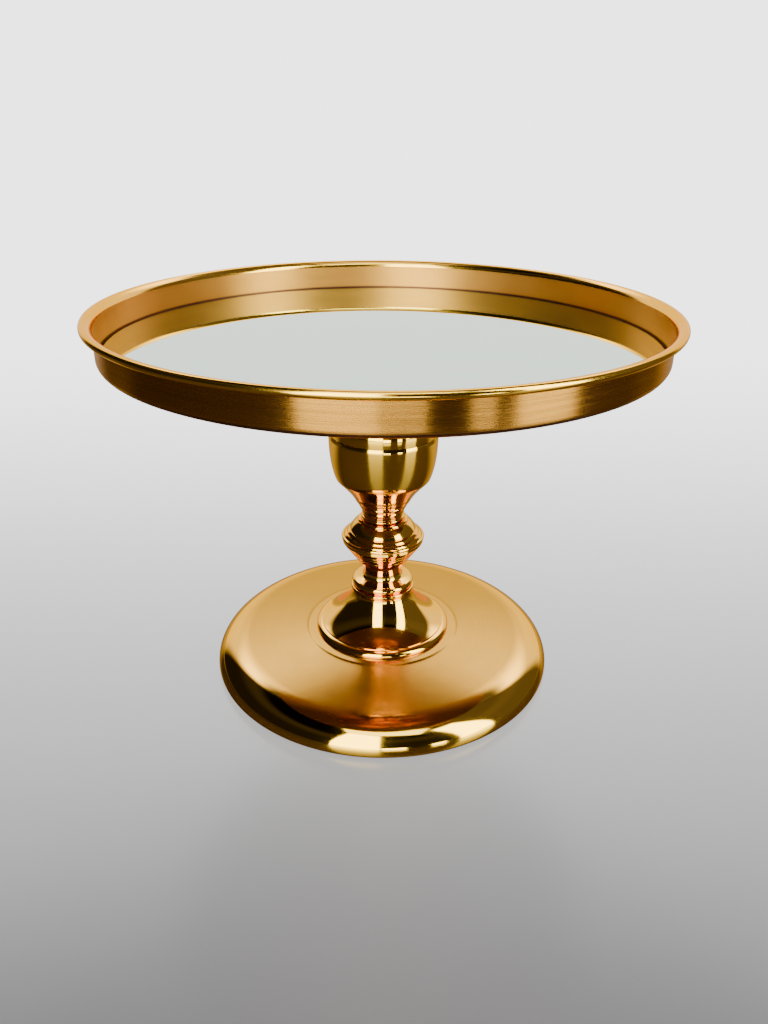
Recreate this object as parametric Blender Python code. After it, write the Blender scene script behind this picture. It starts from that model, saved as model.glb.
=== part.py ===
"""Mirror-topped cake stand, built as its separate pieces.

Metres, +Z up. The origin is on the table, on the axis that every round piece shares.
From the table up: a weighted base, a stack of turned stem pieces drawn together by a tie rod,
and a shallow tray whose stud screws into the coupling nut at the top of the stem.
"""
import math

import bmesh
import bpy
from mathutils import Matrix, Vector
from mathutils.geometry import interpolate_bezier

MM = 0.001

# Fits
SEAT_GAP = 0.3 * MM      # between two faces that rest on each other
BORE_GAP = 0.4 * MM      # round the rod and the stud, on the radius
POCKET_GAP = 0.5 * MM    # round a piece that drops into another, on the radius
SAME_POINT = 0.01 * MM   # outline points closer than this are one point
MERGE = 0.002 * MM       # the turned seam closes within this
DRILL_MARGIN = 1.0 * MM  # how far a drill runs past the faces that it goes through

# Fineness of the turned pieces
WIDE_STEPS = 48          # tray, mirror and base
STEM_STEPS = 24          # stem pieces
SMALL_STEPS = 16         # rod, stud and washers

# A smooth run's two pulls, (outwards, up), are measured from its start and from its end.

# Tray
LIP_RADIUS = 150.0 * MM
LIP_BEAD = 1.8 * MM
LIP_FLARE = 4.5 * MM
TRAY_DEPTH = 20.4 * MM
TRAY_SHEET = 0.7 * MM
TRAY_CORNER = 3.0 * MM

# Mirror
MIRROR_GLASS = 1.8 * MM
MIRROR_EDGE_GAP = 0.5 * MM   # from the rounded corner of the tray
MIRROR_BEVEL = 0.3 * MM
PAD_FILM = 0.3 * MM
PAD_LENGTH = 40.0 * MM
PAD_WIDTH = 18.0 * MM
PAD_COUNT = 6
PAD_RING_RADIUS = 85.0 * MM

# Fixing under the tray
STUD_PLATE_RADIUS = 28.0 * MM
STUD_PLATE_THICKNESS = 2.0 * MM
RUBBER_RADIUS = 24.0 * MM
RUBBER_THICKNESS = 1.2 * MM
THREAD_RADIUS = 4.0 * MM
STUD_ENGAGEMENT = 10.0 * MM
STUD_POINT = 0.8 * MM
COUPLING_FLATS = 13.0 * MM
ROD_STUD_SPACE = 3.0 * MM

# Seat that the tray stands on
SEAT_RADIUS = 31.0 * MM
SEAT_RIM = 2.4 * MM
SEAT_HEIGHT = 21.0 * MM
SEAT_WALL = 5.5 * MM
SEAT_FOOT_RADIUS = 17.0 * MM
SEAT_FOOT_RIM = 2.4 * MM
SEAT_FLARE = ((-0.6 * MM, 6.6 * MM), (-12.8 * MM, -1.4 * MM))

# Cup, in two spun halves
CUP_RADIUS = 30.4 * MM
CUP_HEIGHT = 37.5 * MM
CUP_SHEET = 1.0 * MM
CUP_TUCK = 3.6 * MM
CUP_EDGE_HEIGHT = 11.0 * MM
CUP_EDGE_CREASE = 0.9 * MM
CUP_FOOT_MARGIN = 0.4 * MM
CUP_MOUTH_INSET = 0.5 * MM
CUP_MOUTH_LIP = 1.5 * MM
CUP_SIDE = ((0.2 * MM, -10.5 * MM), (2.2 * MM, 5.0 * MM))
CUP_CONE = ((-3.1 * MM, -3.5 * MM), (1.4 * MM, 2.6 * MM))
COVER_HEIGHT = 22.5 * MM
COVER_TOP_MARGIN = 0.6 * MM
COVER_TOP_EDGE = 0.4 * MM
COVER_DOME = ((7.5 * MM, -2.4 * MM), (0.1 * MM, 7.4 * MM))

# Neck under the cup
NECK_HEIGHT = 14.0 * MM
NECK_RADIUS = 11.8 * MM
NECK_TOP_RADIUS = 17.2 * MM
NECK_COLLAR_RADIUS = 12.8 * MM
NECK_COLLAR = 2.0 * MM
NECK_FLARE = ((0.0 * MM, 4.0 * MM), (-2.2 * MM, -4.0 * MM))

# Knop, with the fine steps of its lower cone
KNOP_HEIGHT = 34.2 * MM
KNOP_RADIUS = 24.0 * MM
KNOP_RIM_HEIGHT = 22.4 * MM
KNOP_RIM = 1.3 * MM
KNOP_TOP_MARGIN = 1.0 * MM
KNOP_STEP = 0.6 * MM
KNOP_STEP_COUNT = 3
KNOP_CONE = ((0.6 * MM, 4.0 * MM), (-5.0 * MM, -7.4 * MM))
KNOP_DOME = ((-2.3 * MM, 2.3 * MM), (1.6 * MM, -2.2 * MM))

# Bead and ring on top of the bell
BEAD_RADIUS = 18.0 * MM
BEAD_ROLL = 2.3 * MM
BEAD_RING_RADIUS = 18.7 * MM
BEAD_RING = 2.9 * MM
BEAD_RING_EDGE = 0.8 * MM
BEAD_GROOVE = 1.6 * MM
BEAD_HEIGHT = 11.8 * MM
BEAD_TOP_RADIUS = 10.8 * MM
BEAD_FLARE = ((-3.3 * MM, 0.4 * MM), (0.0 * MM, -3.1 * MM))

# Bell foot
BELL_HEIGHT = 24.8 * MM
BELL_TOP_INSET = 1.0 * MM
BELL_TOP_EDGE = 0.7 * MM
BELL_RIM_REACH = 3.4 * MM
BELL_RIM_FOOT = 0.6 * MM
BELL_STEP = 0.7 * MM
BELL_RIM_RADIUS = 39.8 * MM
BELL_RIM = 3.2 * MM
BELL_SHEET = 1.0 * MM
BELL_SIDE = ((2.6 * MM, -7.8 * MM), (-8.5 * MM, 5.0 * MM))

# Base
BASE_RADIUS = 99.8 * MM
BASE_SHEET = 1.0 * MM
BASE_LIFT = 0.5 * MM
BASE_ROLL = 15.8 * MM
BASE_FALL = 1.4 * MM
BASE_WIDEST_HEIGHT = 3.2 * MM
BASE_HEM = 2.4 * MM
BASE_BOSS_MARGIN = 4.6 * MM
BASE_BOSS_EDGE = 2.0 * MM
BASE_BOSS_RISE = 1.3 * MM
BASE_TOP_HEIGHT = 19.1 * MM

# Inside and under the base
FOOT_PAD_THICKNESS = 2.0 * MM
WEIGHT_MARGIN = 8.0 * MM
WEIGHT_CLEARANCE = 0.8 * MM
WEIGHT_HUB_RADIUS = 20.0 * MM
CLAMP_WASHER_RADIUS = 12.0 * MM
CLAMP_WASHER_THICKNESS = 1.6 * MM
LOCK_WASHER_RADIUS = 7.4 * MM
LOCK_WASHER_THICKNESS = 1.8 * MM
NUT_FLATS = 13.0 * MM
NUT_HEIGHT = 3.6 * MM
NUT_CLEARANCE = 1.0 * MM

# Heights of the stack, each from the piece below it
BORE_RADIUS = THREAD_RADIUS + BORE_GAP
BASE_SEAT_Z = BASE_TOP_HEIGHT + BASE_BOSS_RISE
BELL_Z = BASE_SEAT_Z + SEAT_GAP
BEAD_Z = BELL_Z + BELL_HEIGHT + SEAT_GAP
KNOP_Z = BEAD_Z + BEAD_HEIGHT + SEAT_GAP
NECK_Z = KNOP_Z + KNOP_HEIGHT + SEAT_GAP
CUP_Z = NECK_Z + NECK_HEIGHT + SEAT_GAP
COVER_Z = CUP_Z + CUP_HEIGHT + SEAT_GAP
SEAT_Z = COVER_Z + COVER_HEIGHT + SEAT_GAP
RUBBER_Z = SEAT_Z + SEAT_HEIGHT + SEAT_GAP
STUD_PLATE_Z = RUBBER_Z + RUBBER_THICKNESS + SEAT_GAP
TRAY_Z = STUD_PLATE_Z + STUD_PLATE_THICKNESS + SEAT_GAP
TRAY_FLOOR_Z = TRAY_Z + TRAY_SHEET
PAD_Z = TRAY_FLOOR_Z + SEAT_GAP
MIRROR_Z = PAD_Z + PAD_FILM + SEAT_GAP

# Radii that follow from the pieces they fit
TRAY_INNER_RADIUS = LIP_RADIUS - LIP_BEAD - LIP_FLARE
MIRROR_CORNER_DROP = TRAY_CORNER - (MIRROR_Z - TRAY_FLOOR_Z)
MIRROR_CORNER_REACH = math.sqrt(TRAY_CORNER ** 2 - MIRROR_CORNER_DROP ** 2)
MIRROR_RADIUS = TRAY_INNER_RADIUS - TRAY_CORNER + MIRROR_CORNER_REACH - MIRROR_EDGE_GAP
COUPLING_POCKET = COUPLING_FLATS / 2 / math.cos(math.radians(30.0)) + POCKET_GAP
SEAT_WAIST_RADIUS = COUPLING_POCKET + SEAT_WALL
COVER_TOP_RADIUS = SEAT_FOOT_RADIUS + COVER_TOP_MARGIN
CUP_EDGE_RADIUS = CUP_RADIUS - CUP_TUCK
CUP_FOOT_RADIUS = NECK_TOP_RADIUS + CUP_FOOT_MARGIN
KNOP_TOP_RADIUS = NECK_COLLAR_RADIUS + KNOP_TOP_MARGIN
KNOP_FOOT_RADIUS = BEAD_TOP_RADIUS
BELL_TOP_RADIUS = BEAD_RING_RADIUS - BELL_TOP_INSET
BELL_STEP_RADIUS = BELL_RIM_RADIUS - BELL_RIM_REACH
BASE_BOSS_RADIUS = BELL_RIM_RADIUS + BASE_BOSS_MARGIN
BASE_SHOULDER_RADIUS = BASE_RADIUS - BASE_ROLL
WEIGHT_RADIUS = BASE_SHOULDER_RADIUS - WEIGHT_MARGIN

# Heights inside the seat and the base
COUPLING_TOP_Z = SEAT_Z + SEAT_HEIGHT - SEAT_GAP
STUD_TIP_Z = COUPLING_TOP_Z - STUD_ENGAGEMENT
ROD_TOP_Z = STUD_TIP_Z - ROD_STUD_SPACE
BASE_SHOULDER_HEIGHT = BASE_TOP_HEIGHT - BASE_FALL
NUT_Z = FOOT_PAD_THICKNESS + NUT_CLEARANCE
LOCK_WASHER_Z = NUT_Z + NUT_HEIGHT + SEAT_GAP
CLAMP_WASHER_Z = LOCK_WASHER_Z + LOCK_WASHER_THICKNESS + SEAT_GAP
WEIGHT_Z = CLAMP_WASHER_Z + CLAMP_WASHER_THICKNESS + SEAT_GAP
WEIGHT_TOP_Z = BASE_SHOULDER_HEIGHT - BASE_SHEET - WEIGHT_CLEARANCE


def clear_scene():
    for found in list(bpy.data.objects):
        bpy.data.objects.remove(found, do_unlink=True)


def material(name, color, metallic, roughness):
    made = bpy.data.materials.new(name)
    made.use_nodes = True
    shader = made.node_tree.nodes["Principled BSDF"]
    shader.inputs["Base Color"].default_value = (*color, 1.0)
    shader.inputs["Metallic"].default_value = metallic
    shader.inputs["Roughness"].default_value = roughness
    return made


def arc(center, radius, start, end, steps):
    """Points round a centre, from one angle in degrees to another; radius may be a pair."""
    across, up = radius if isinstance(radius, tuple) else (radius, radius)
    points = []
    for step in range(steps + 1):
        angle = math.radians(start + (end - start) * step / steps)
        points.append((center[0] + across * math.cos(angle), center[1] + up * math.sin(angle)))
    return points


def curve(start, end, pulls, steps):
    """A smooth run between two points, pulled out of the straight line at each of them."""
    first = Vector((*start, 0.0))
    last = Vector((*end, 0.0))
    leave = first + Vector((*pulls[0], 0.0))
    arrive = last + Vector((*pulls[1], 0.0))
    return [(point.x, point.y) for point in interpolate_bezier(first, leave, arrive, last, steps + 1)]


def offset(path, distance):
    """The path moved sideways to its right, by the same distance everywhere."""
    moved = []
    count = len(path)
    for index, point in enumerate(path):
        before = Vector(path[max(index - 1, 0)])
        after = Vector(path[min(index + 1, count - 1)])
        here = Vector(point)
        first = (here - before) if index > 0 else (after - here)
        second = (after - here) if index < count - 1 else first
        first.normalize()
        second.normalize()
        bisector = first + second
        bisector.normalize()
        side = Vector((bisector.y, -bisector.x))
        reach = distance / max(bisector.dot(first), 0.5)
        moved.append(tuple(here + side * reach))
    return moved


def sheet_outline(path, wall):
    """A closed outline: the path, and back along the wall's other side, to the path's right."""
    return path + offset(path, wall)[::-1]


def tidy_outline(outline):
    """The outline without points that lie on top of the one before."""
    kept = []
    for point in outline:
        if not kept or math.dist(point, kept[-1]) > SAME_POINT:
            kept.append(point)
    if math.dist(kept[0], kept[-1]) < SAME_POINT:
        kept.pop()
    return kept


def turned(name, outline, steps, finish):
    """A closed body of revolution about Z; an outline may start and end on the axis."""
    points = tidy_outline(outline)
    on_axis = points[0][0] == 0.0 and points[-1][0] == 0.0
    mesh = bpy.data.meshes.new(name)
    work = bmesh.new()
    ring = [work.verts.new((radius, 0.0, height)) for radius, height in points]
    edges = [work.edges.new(pair) for pair in zip(ring[:-1], ring[1:])]
    if not on_axis:
        edges.append(work.edges.new((ring[-1], ring[0])))
    bmesh.ops.spin(work, geom=ring + edges, cent=(0.0, 0.0, 0.0), axis=(0.0, 0.0, 1.0),
                   angle=math.tau, steps=steps, use_merge=True)
    bmesh.ops.remove_doubles(work, verts=work.verts, dist=MERGE)
    bmesh.ops.recalc_face_normals(work, faces=work.faces)
    work.to_mesh(mesh)
    work.free()
    return finished(name, mesh, finish)


def finished(name, mesh, finish):
    mesh.shade_smooth()
    mesh.set_sharp_from_angle(angle=math.radians(28.0))
    mesh.materials.append(finish)
    made = bpy.data.objects.new(name, mesh)
    bpy.context.scene.collection.objects.link(made)
    return made


def washer_outline(inner, outer, low, high):
    return [(inner, low), (outer, low), (outer, high), (inner, high)]


def hex_nut(name, across_flats, bore, low, high, finish):
    """A hexagon with a round bore, its corners chamfered top and bottom."""
    corner = across_flats / 2 / math.cos(math.radians(30.0))
    chamfer = (corner - across_flats / 2) / 2
    outer = bmesh.new()
    bmesh.ops.create_cone(outer, cap_ends=True, segments=6, radius1=corner, radius2=corner,
                          depth=high - low, matrix=Matrix.Translation((0, 0, (low + high) / 2)))
    rims = [edge for edge in outer.edges
            if abs(edge.verts[0].co.z - edge.verts[1].co.z) < SAME_POINT]
    bmesh.ops.bevel(outer, geom=rims, offset=chamfer, segments=1, profile=0.5,
                    affect="EDGES", material=-1)
    mesh = bpy.data.meshes.new(name)
    outer.to_mesh(mesh)
    outer.free()
    nut = finished(name, mesh, finish)
    start = low - DRILL_MARGIN
    end = high + DRILL_MARGIN
    drill = turned(name + "_drill", [(0.0, start), (bore, start), (bore, end), (0.0, end)],
                   SMALL_STEPS, finish)
    drill.hide_render = True
    drill.display_type = "WIRE"
    cut = nut.modifiers.new("bore", "BOOLEAN")
    cut.operation = "DIFFERENCE"
    cut.object = drill
    return nut


def build_base(gold, iron, steel, felt):
    low = BASE_LIFT
    reach = BASE_RADIUS - BASE_SHOULDER_RADIUS
    rise = BASE_SHOULDER_HEIGHT - BASE_WIDEST_HEIGHT
    hem = BASE_WIDEST_HEIGHT - low
    boss_foot = (BASE_BOSS_RADIUS + BASE_BOSS_EDGE, BASE_TOP_HEIGHT)
    boss_side = ((BASE_BOSS_EDGE / 2, 0.0), (-BASE_BOSS_EDGE / 2, 0.0))
    path = [(BORE_RADIUS, BASE_SEAT_Z)]
    path += curve((BASE_BOSS_RADIUS, BASE_SEAT_Z), boss_foot, boss_side, 3)
    path += arc((BASE_SHOULDER_RADIUS, BASE_WIDEST_HEIGHT), (reach, rise), 90.0, 0.0, 7)
    path += arc((BASE_RADIUS - BASE_HEM, BASE_WIDEST_HEIGHT), (BASE_HEM, hem), 0.0, -75.0, 3)
    turned("base_disc", sheet_outline(path, BASE_SHEET), WIDE_STEPS, gold)

    hem_inner = path[-1][0] - BASE_SHEET
    pad_radius = hem_inner - POCKET_GAP
    turned("foot_pad", [(0.0, 0.0), (pad_radius, 0.0), (pad_radius, FOOT_PAD_THICKNESS),
                        (0.0, FOOT_PAD_THICKNESS)], WIDE_STEPS, felt)

    hub_top = BASE_SEAT_Z - BASE_SHEET - SEAT_GAP
    turned("base_weight", [(BORE_RADIUS, WEIGHT_Z), (WEIGHT_RADIUS, WEIGHT_Z),
                           (WEIGHT_RADIUS, WEIGHT_TOP_Z), (WEIGHT_HUB_RADIUS, WEIGHT_TOP_Z),
                           (WEIGHT_HUB_RADIUS, hub_top), (BORE_RADIUS, hub_top)],
           STEM_STEPS, iron)
    turned("clamp_washer", washer_outline(BORE_RADIUS, CLAMP_WASHER_RADIUS, CLAMP_WASHER_Z,
                                          CLAMP_WASHER_Z + CLAMP_WASHER_THICKNESS),
           SMALL_STEPS, steel)
    turned("lock_washer", washer_outline(BORE_RADIUS, LOCK_WASHER_RADIUS, LOCK_WASHER_Z,
                                         LOCK_WASHER_Z + LOCK_WASHER_THICKNESS),
           SMALL_STEPS, steel)
    hex_nut("base_nut", NUT_FLATS, BORE_RADIUS, NUT_Z, NUT_Z + NUT_HEIGHT, steel)


def build_bell(gold):
    top = BELL_Z + BELL_HEIGHT
    step_z = BELL_Z + BELL_RIM
    edge = BELL_TOP_EDGE
    path = [(BORE_RADIUS, top)]
    path += arc((BELL_TOP_RADIUS - edge, top - edge), edge, 90.0, 0.0, 2)
    path += curve((BELL_TOP_RADIUS, top - edge), (BELL_STEP_RADIUS, step_z + BELL_STEP),
                  BELL_SIDE, 7)[1:]
    path.append((BELL_STEP_RADIUS, step_z))
    path += arc((BELL_STEP_RADIUS, BELL_Z + BELL_RIM_FOOT),
                (BELL_RIM_REACH, BELL_RIM - BELL_RIM_FOOT), 75.0, 0.0, 4)
    path.append((BELL_RIM_RADIUS, BELL_Z))
    turned("bell_foot", sheet_outline(path, BELL_SHEET), STEM_STEPS, gold)


def build_bead(gold):
    roll_z = BEAD_Z + BEAD_RING + BEAD_ROLL
    top = BEAD_Z + BEAD_HEIGHT
    edge = BEAD_RING_EDGE
    outline = [(BORE_RADIUS, BEAD_Z)]
    outline += arc((BEAD_RING_RADIUS - edge, BEAD_Z + edge), edge, -90.0, 0.0, 2)
    outline += arc((BEAD_RING_RADIUS - edge, BEAD_Z + BEAD_RING - edge), edge, 0.0, 90.0, 2)
    outline.append((BEAD_RADIUS - BEAD_GROOVE, BEAD_Z + BEAD_RING))
    outline += arc((BEAD_RADIUS - BEAD_ROLL, roll_z), BEAD_ROLL, -70.0, 90.0, 5)
    outline += curve((BEAD_RADIUS - BEAD_ROLL, roll_z + BEAD_ROLL), (BEAD_TOP_RADIUS, top),
                     BEAD_FLARE, 5)
    outline.append((BORE_RADIUS, top))
    turned("stem_bead", outline, STEM_STEPS, gold)


def build_knop(gold):
    rim_z = KNOP_Z + KNOP_RIM_HEIGHT
    top = KNOP_Z + KNOP_HEIGHT
    under_rim = (KNOP_RADIUS - KNOP_STEP, rim_z - 2.0 * KNOP_RIM)
    cone = curve((KNOP_FOOT_RADIUS, KNOP_Z), under_rim, KNOP_CONE, 9)
    outline = [(BORE_RADIUS, KNOP_Z)] + cone[:-KNOP_STEP_COUNT]
    for radius, height in cone[-KNOP_STEP_COUNT:]:
        outline += [(radius, height), (radius + KNOP_STEP, height + KNOP_STEP / 4)]
    outline += arc((KNOP_RADIUS - KNOP_RIM, rim_z), KNOP_RIM, -60.0, 60.0, 5)
    outline += curve((KNOP_RADIUS - KNOP_RIM, rim_z + KNOP_RIM), (KNOP_TOP_RADIUS, top),
                     KNOP_DOME, 6)
    outline.append((BORE_RADIUS, top))
    turned("knop", outline, STEM_STEPS, gold)


def build_neck(gold):
    top = NECK_Z + NECK_HEIGHT
    collar_top = NECK_Z + NECK_COLLAR
    edge = NECK_COLLAR / 2
    outline = [(BORE_RADIUS, NECK_Z)]
    outline += arc((NECK_COLLAR_RADIUS - edge, NECK_Z + edge), edge, -90.0, 90.0, 5)
    outline += curve((NECK_RADIUS, collar_top), (NECK_TOP_RADIUS, top), NECK_FLARE, 7)
    outline.append((BORE_RADIUS, top))
    turned("stem_neck", outline, STEM_STEPS, gold)


def build_cup(gold):
    top = CUP_Z + CUP_HEIGHT
    edge_z = CUP_Z + CUP_EDGE_HEIGHT
    mouth_radius = CUP_RADIUS - CUP_MOUTH_INSET
    path = [(mouth_radius, top)]
    path += curve((CUP_RADIUS, top - CUP_MOUTH_LIP), (CUP_EDGE_RADIUS, edge_z), CUP_SIDE, 8)
    path += curve((CUP_EDGE_RADIUS - CUP_EDGE_CREASE, edge_z - CUP_EDGE_CREASE),
                  (CUP_FOOT_RADIUS, CUP_Z), CUP_CONE, 4)
    path.append((BORE_RADIUS, CUP_Z))
    turned("stem_cup", sheet_outline(path, CUP_SHEET), STEM_STEPS, gold)

    cover_top = COVER_Z + COVER_HEIGHT
    cover = [(BORE_RADIUS, cover_top), (COVER_TOP_RADIUS, cover_top)]
    cover += curve((COVER_TOP_RADIUS + COVER_TOP_EDGE, cover_top - COVER_TOP_EDGE),
                   (mouth_radius, COVER_Z + CUP_MOUTH_LIP), COVER_DOME, 8)
    cover.append((mouth_radius, COVER_Z))
    turned("cup_cover", sheet_outline(cover, CUP_SHEET), STEM_STEPS, gold)


def build_seat(gold, steel):
    """The flared piece under the tray, and the long nut that it holds."""
    top = SEAT_Z + SEAT_HEIGHT
    edge = SEAT_RIM / 2
    foot = SEAT_FOOT_RIM / 2
    outline = [(COUPLING_POCKET, SEAT_Z)]
    outline += arc((SEAT_FOOT_RADIUS - foot, SEAT_Z + foot), foot, -90.0, 90.0, 5)
    outline += curve((SEAT_WAIST_RADIUS, SEAT_Z + SEAT_FOOT_RIM),
                     (SEAT_RADIUS - edge, top - SEAT_RIM), SEAT_FLARE, 8)
    outline += arc((SEAT_RADIUS - edge, top - edge), edge, -60.0, 90.0, 5)
    outline.append((COUPLING_POCKET, top))
    turned("tray_seat", outline, STEM_STEPS, gold)
    hex_nut("coupling_nut", COUPLING_FLATS, BORE_RADIUS, SEAT_Z, COUPLING_TOP_Z, steel)


def build_rod(steel):
    tip_radius = THREAD_RADIUS - STUD_POINT
    turned("tie_rod", [(0.0, NUT_Z), (tip_radius, NUT_Z), (THREAD_RADIUS, NUT_Z + STUD_POINT),
                       (THREAD_RADIUS, ROD_TOP_Z - STUD_POINT), (tip_radius, ROD_TOP_Z),
                       (0.0, ROD_TOP_Z)], SMALL_STEPS, steel)


def build_tray(gold, steel, rubber):
    wall_top = TRAY_Z + TRAY_DEPTH - LIP_FLARE
    lip_center = LIP_RADIUS - LIP_BEAD
    path = [(0.0, TRAY_FLOOR_Z)]
    path += arc((TRAY_INNER_RADIUS - TRAY_CORNER, TRAY_FLOOR_Z + TRAY_CORNER), TRAY_CORNER,
                -90.0, 0.0, 3)
    path += arc((lip_center, wall_top), LIP_FLARE, 180.0, 90.0, 4)
    path += arc((lip_center, TRAY_Z + TRAY_DEPTH - LIP_BEAD), LIP_BEAD, 75.0, -100.0, 6)
    under = offset(path, TRAY_SHEET)
    under[0] = (0.0, TRAY_Z)
    turned("tray_pan", path + under[::-1], WIDE_STEPS, gold)

    turned("stud_plate", washer_outline(BORE_RADIUS, STUD_PLATE_RADIUS, STUD_PLATE_Z,
                                        STUD_PLATE_Z + STUD_PLATE_THICKNESS), STEM_STEPS, steel)
    stud_top = STUD_PLATE_Z + STUD_PLATE_THICKNESS
    turned("tray_stud", [(0.0, STUD_TIP_Z), (THREAD_RADIUS - STUD_POINT, STUD_TIP_Z),
                         (THREAD_RADIUS, STUD_TIP_Z + STUD_POINT), (THREAD_RADIUS, stud_top),
                         (0.0, stud_top)], SMALL_STEPS, steel)
    turned("rubber_washer", washer_outline(BORE_RADIUS, RUBBER_RADIUS, RUBBER_Z,
                                           RUBBER_Z + RUBBER_THICKNESS), STEM_STEPS, rubber)


def build_mirror(glass, film):
    top = MIRROR_Z + MIRROR_GLASS
    face_radius = MIRROR_RADIUS - MIRROR_BEVEL
    turned("mirror_plate", [(0.0, MIRROR_Z), (face_radius, MIRROR_Z),
                            (MIRROR_RADIUS, MIRROR_Z + MIRROR_BEVEL),
                            (MIRROR_RADIUS, top - MIRROR_BEVEL), (face_radius, top), (0.0, top)],
           WIDE_STEPS, glass)
    for index in range(PAD_COUNT):
        name = "mirror_pad_%d" % (index + 1)
        mesh = bpy.data.meshes.new(name)
        work = bmesh.new()
        size = Matrix.Diagonal((PAD_LENGTH, PAD_WIDTH, PAD_FILM, 1.0))
        bmesh.ops.create_cube(work, size=1.0, matrix=size)
        work.to_mesh(mesh)
        work.free()
        pad = finished(name, mesh, film)
        angle = math.tau * index / PAD_COUNT
        pad.location = (PAD_RING_RADIUS * math.cos(angle), PAD_RING_RADIUS * math.sin(angle),
                        PAD_Z + PAD_FILM / 2)
        pad.rotation_euler = (0.0, 0.0, angle)


def build():
    clear_scene()
    brushed_gold = material("brushed_gold", (0.72, 0.47, 0.20), 1.0, 0.30)
    polished_gold = material("polished_gold", (0.80, 0.53, 0.22), 1.0, 0.12)
    satin_gold = material("satin_gold", (0.76, 0.50, 0.21), 1.0, 0.25)
    mirror_glass = material("mirror_glass", (0.80, 0.84, 0.82), 1.0, 0.03)
    zinc_steel = material("zinc_steel", (0.55, 0.56, 0.58), 1.0, 0.35)
    cast_iron = material("cast_iron", (0.07, 0.07, 0.07), 0.6, 0.70)
    black_felt = material("black_felt", (0.02, 0.02, 0.02), 0.0, 0.95)
    black_rubber = material("black_rubber", (0.02, 0.02, 0.02), 0.0, 0.60)
    clear_film = material("clear_film", (0.75, 0.73, 0.66), 0.0, 0.50)

    build_base(satin_gold, cast_iron, zinc_steel, black_felt)
    build_bell(polished_gold)
    build_bead(polished_gold)
    build_knop(polished_gold)
    build_neck(polished_gold)
    build_cup(polished_gold)
    build_seat(polished_gold, zinc_steel)
    build_rod(zinc_steel)
    build_tray(brushed_gold, zinc_steel, black_rubber)
    build_mirror(mirror_glass, clear_film)


build()
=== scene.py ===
"""Looks of the mirror-topped cake stand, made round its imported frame.

Every piece shares the upright axis through the origin. Each one is turned from an outline of
(radius, height) points, in metres, and takes its place and size from the frame's own pieces.
"""
import math

import bmesh
import bpy
from bpy.props import FloatProperty, FloatVectorProperty, PointerProperty
from bpy.types import Operator, Panel, PropertyGroup
from mathutils import Matrix, Vector
from mathutils.geometry import interpolate_bezier


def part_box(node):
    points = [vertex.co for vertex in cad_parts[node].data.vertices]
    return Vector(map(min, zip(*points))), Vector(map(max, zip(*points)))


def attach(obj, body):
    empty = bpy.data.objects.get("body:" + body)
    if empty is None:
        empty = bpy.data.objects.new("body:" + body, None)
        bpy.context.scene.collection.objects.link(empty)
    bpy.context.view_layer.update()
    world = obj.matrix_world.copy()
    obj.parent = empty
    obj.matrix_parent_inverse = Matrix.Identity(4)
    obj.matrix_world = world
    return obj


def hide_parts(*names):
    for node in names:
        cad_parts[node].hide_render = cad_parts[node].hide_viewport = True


bl_info = {
    "name": "Cake Stand",
    "version": (1, 0, 0),
    "blender": (4, 5, 0),
    "location": "3D View > Sidebar > Cake Stand",
    "description": "Turns the pieces of a mirror-topped cake stand and gives them their finishes",
    "category": "Object",
}

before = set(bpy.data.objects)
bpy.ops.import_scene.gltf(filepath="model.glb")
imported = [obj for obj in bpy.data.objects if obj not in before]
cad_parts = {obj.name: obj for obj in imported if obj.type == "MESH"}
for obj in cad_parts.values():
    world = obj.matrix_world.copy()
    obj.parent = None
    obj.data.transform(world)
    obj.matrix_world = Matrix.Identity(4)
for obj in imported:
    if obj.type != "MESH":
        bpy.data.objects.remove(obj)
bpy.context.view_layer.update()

MM = 0.001
AXIS = (0.0, 0.0, 1.0)
CENTER = (0.0, 0.0, 0.0)
LEVEL = (1.0, 1.0, 0.0)
WHITE = (1.0, 1.0, 1.0)

# Steps round the axis, by the size of the piece
WIDE_STEPS = 288
STEM_STEPS = 144
THREAD_STEPS = 32

MERGE = 0.002 * MM
CREASE = math.radians(32.0)
ROD_BORE = 4.4 * MM
STEM_SHEET = 1.0 * MM

# Gold reflects a warmer colour than white at a glancing angle
GOLD_EDGE = (1.0, 0.70, 0.36)


def extent(node):
    """The node's lowest and highest heights, and its radius."""
    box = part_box(node)
    return box[0].z, box[1].z, box[1].x


def reach(node):
    return extent(node)[2]


# Sizes and colours

class StandMetals(PropertyGroup):
    polished: FloatVectorProperty(name="Polished gold", description="Plating on the stem and the base's rim",
                                  default=(1.0, 0.51, 0.06), size=3, subtype="COLOR", min=0.0, max=1.0)
    satin: FloatVectorProperty(name="Satin gold", description="Plating on the top of the base",
                               default=(1.0, 0.51, 0.07), size=3, subtype="COLOR", min=0.0, max=1.0)
    brushed: FloatVectorProperty(name="Brushed gold", description="Plating on the tray's walls",
                                 default=(0.64, 0.265, 0.055), size=3, subtype="COLOR", min=0.0, max=1.0)
    polished_roughness: FloatProperty(name="Polished roughness", description="Blur of the polished gold",
                                      default=0.06, min=0.0, max=1.0)
    satin_roughness: FloatProperty(name="Satin roughness", description="Blur of the base's top",
                                   default=0.24, min=0.0, max=1.0)
    brushed_roughness: FloatProperty(name="Brushed roughness", description="Blur of the tray's outer wall",
                                     default=0.24, min=0.0, max=1.0)


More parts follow.
